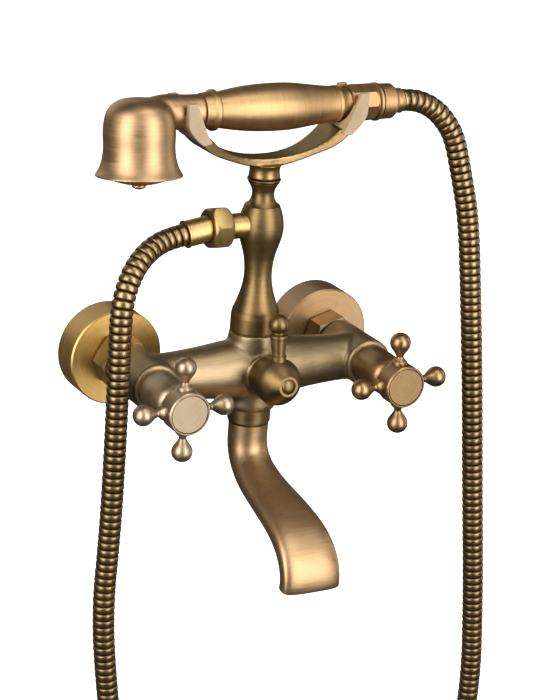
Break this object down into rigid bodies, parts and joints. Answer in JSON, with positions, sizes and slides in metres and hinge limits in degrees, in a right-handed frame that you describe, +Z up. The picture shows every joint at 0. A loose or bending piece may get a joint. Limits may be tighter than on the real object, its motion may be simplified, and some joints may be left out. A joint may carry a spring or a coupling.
{
  "type": "wall mounted bath faucet",
  "caption": "Wall mounted bath mixer in antique brass with cross handles, swivel spout, diverter lever, and a bell shaped hand shower on a forked cradle with a ribbed hose.",
  "frame": {"origin": "midway between the two wall threads' axes, on the finished wall's surface", "axes": "+Z up, +X to the right as seen from the room, +Y into the wall, so the mixer stands out towards -Y"},
  "size_m": [0.298, 0.1804, 0.6955],
  "materials": {
    "antique_brass": "satin brushed, darkened",
    "golden_brass": "satin",
    "hose_brass": "satin ribs with dark grooves",
    "plain_brass": "machined",
    "steel": "machined",
    "liner_plastic": "translucent off white",
    "ceramic": "lapped",
    "cartridge_plastic": "moulded",
    "seal_rubber": "matt"
  },
  "bodies": {
    "mixer_body": {"left_flange": "golden_brass", "right_flange": "antique_brass", "eccentric_unions": "plain_brass", "union_washers": "seal_rubber", "union_nuts": "antique_brass", "inlet_tails": "plain_brass", "valve_body": "antique_brass", "seat_seals": "seal_rubber", "fixed_discs": "ceramic", "hot_cartridge": "cartridge_plastic", "hot_bonnet": "antique_brass", "cold_cartridge": "cartridge_plastic", "cold_bonnet": "antique_brass", "diverter_gland": "plain_brass", "swivel_nut": "antique_brass", "column_collar": "antique_brass", "column": "antique_brass", "column_o_ring": "seal_rubber", "column_neck": "antique_brass", "outlet_nipple": "antique_brass", "check_valve": "cartridge_plastic", "column_hose_washer": "seal_rubber", "column_hose_nut": "antique_brass", "column_ferrule": "antique_brass", "cradle": "antique_brass", "cradle_stud": "steel", "left_fork_liner": "liner_plastic", "right_fork_liner": "liner_plastic", "hose": "hose_brass"},
    "hot_handle": {"hot_handle_hub": "antique_brass", "hot_handle_spokes": "antique_brass", "hot_handle_screw": "steel", "hot_index_cap": "antique_brass", "hot_spindle": "plain_brass", "hot_moving_disc": "ceramic"},
    "cold_handle": {"cold_handle_hub": "antique_brass", "cold_handle_spokes": "antique_brass", "cold_handle_screw": "steel", "cold_index_cap": "antique_brass", "cold_spindle": "plain_brass", "cold_moving_disc": "ceramic"},
    "diverter": {"diverter_knob": "antique_brass", "diverter_lever": "antique_brass", "diverter_button": "antique_brass", "diverter_spool": "plain_brass", "diverter_o_rings": "seal_rubber"},
    "spout_body": {"spout": "antique_brass", "spout_clip": "steel", "spout_o_rings": "seal_rubber"},
    "handset": {"shower_head": "antique_brass", "spray_face": "antique_brass", "spray_screw": "antique_brass", "handset_collar": "antique_brass", "handset_handle": "antique_brass", "handset_tail": "antique_brass", "handset_hose_nut": "antique_brass", "handset_hose_washer": "seal_rubber", "swivel_ring": "antique_brass"},
    "hose_swivel": {"swivel_body": "antique_brass", "handset_ferrule": "antique_brass"}
  },
  "joints": [
    {"name": "hot_handle_turn", "type": "hinge", "parent": "mixer_body", "child": "hot_handle", "pos_m": [-0.075, -0.1177, 0.005], "axis": [0, -1, 0], "range_deg": [0, 90]},
    {"name": "cold_handle_turn", "type": "hinge", "parent": "mixer_body", "child": "cold_handle", "pos_m": [0.075, -0.1177, 0.005], "axis": [0, 1, 0], "range_deg": [0, 90]},
    {"name": "diverter_turn", "type": "hinge", "parent": "mixer_body", "child": "diverter", "pos_m": [0, -0.0825, 0.0055], "axis": [0, 0.9945, -0.1045], "range_deg": [0, 90]},
    {"name": "spout_swivel", "type": "hinge", "parent": "mixer_body", "child": "spout_body", "pos_m": [0, -0.062, 0], "axis": [0, 0, 1], "range_deg": [-45, 45]},
    {"name": "handset_lift", "type": "slide", "parent": "mixer_body", "child": "handset", "axis": [0, 0, 1], "range_m": [0, 0.03]},
    {"name": "hose_swivel_turn", "type": "hinge", "parent": "handset", "child": "hose_swivel", "pos_m": [0, -0.062, 0.1732], "axis": [0.9999, 0, -0.0122], "continuous": true}
  ]
}
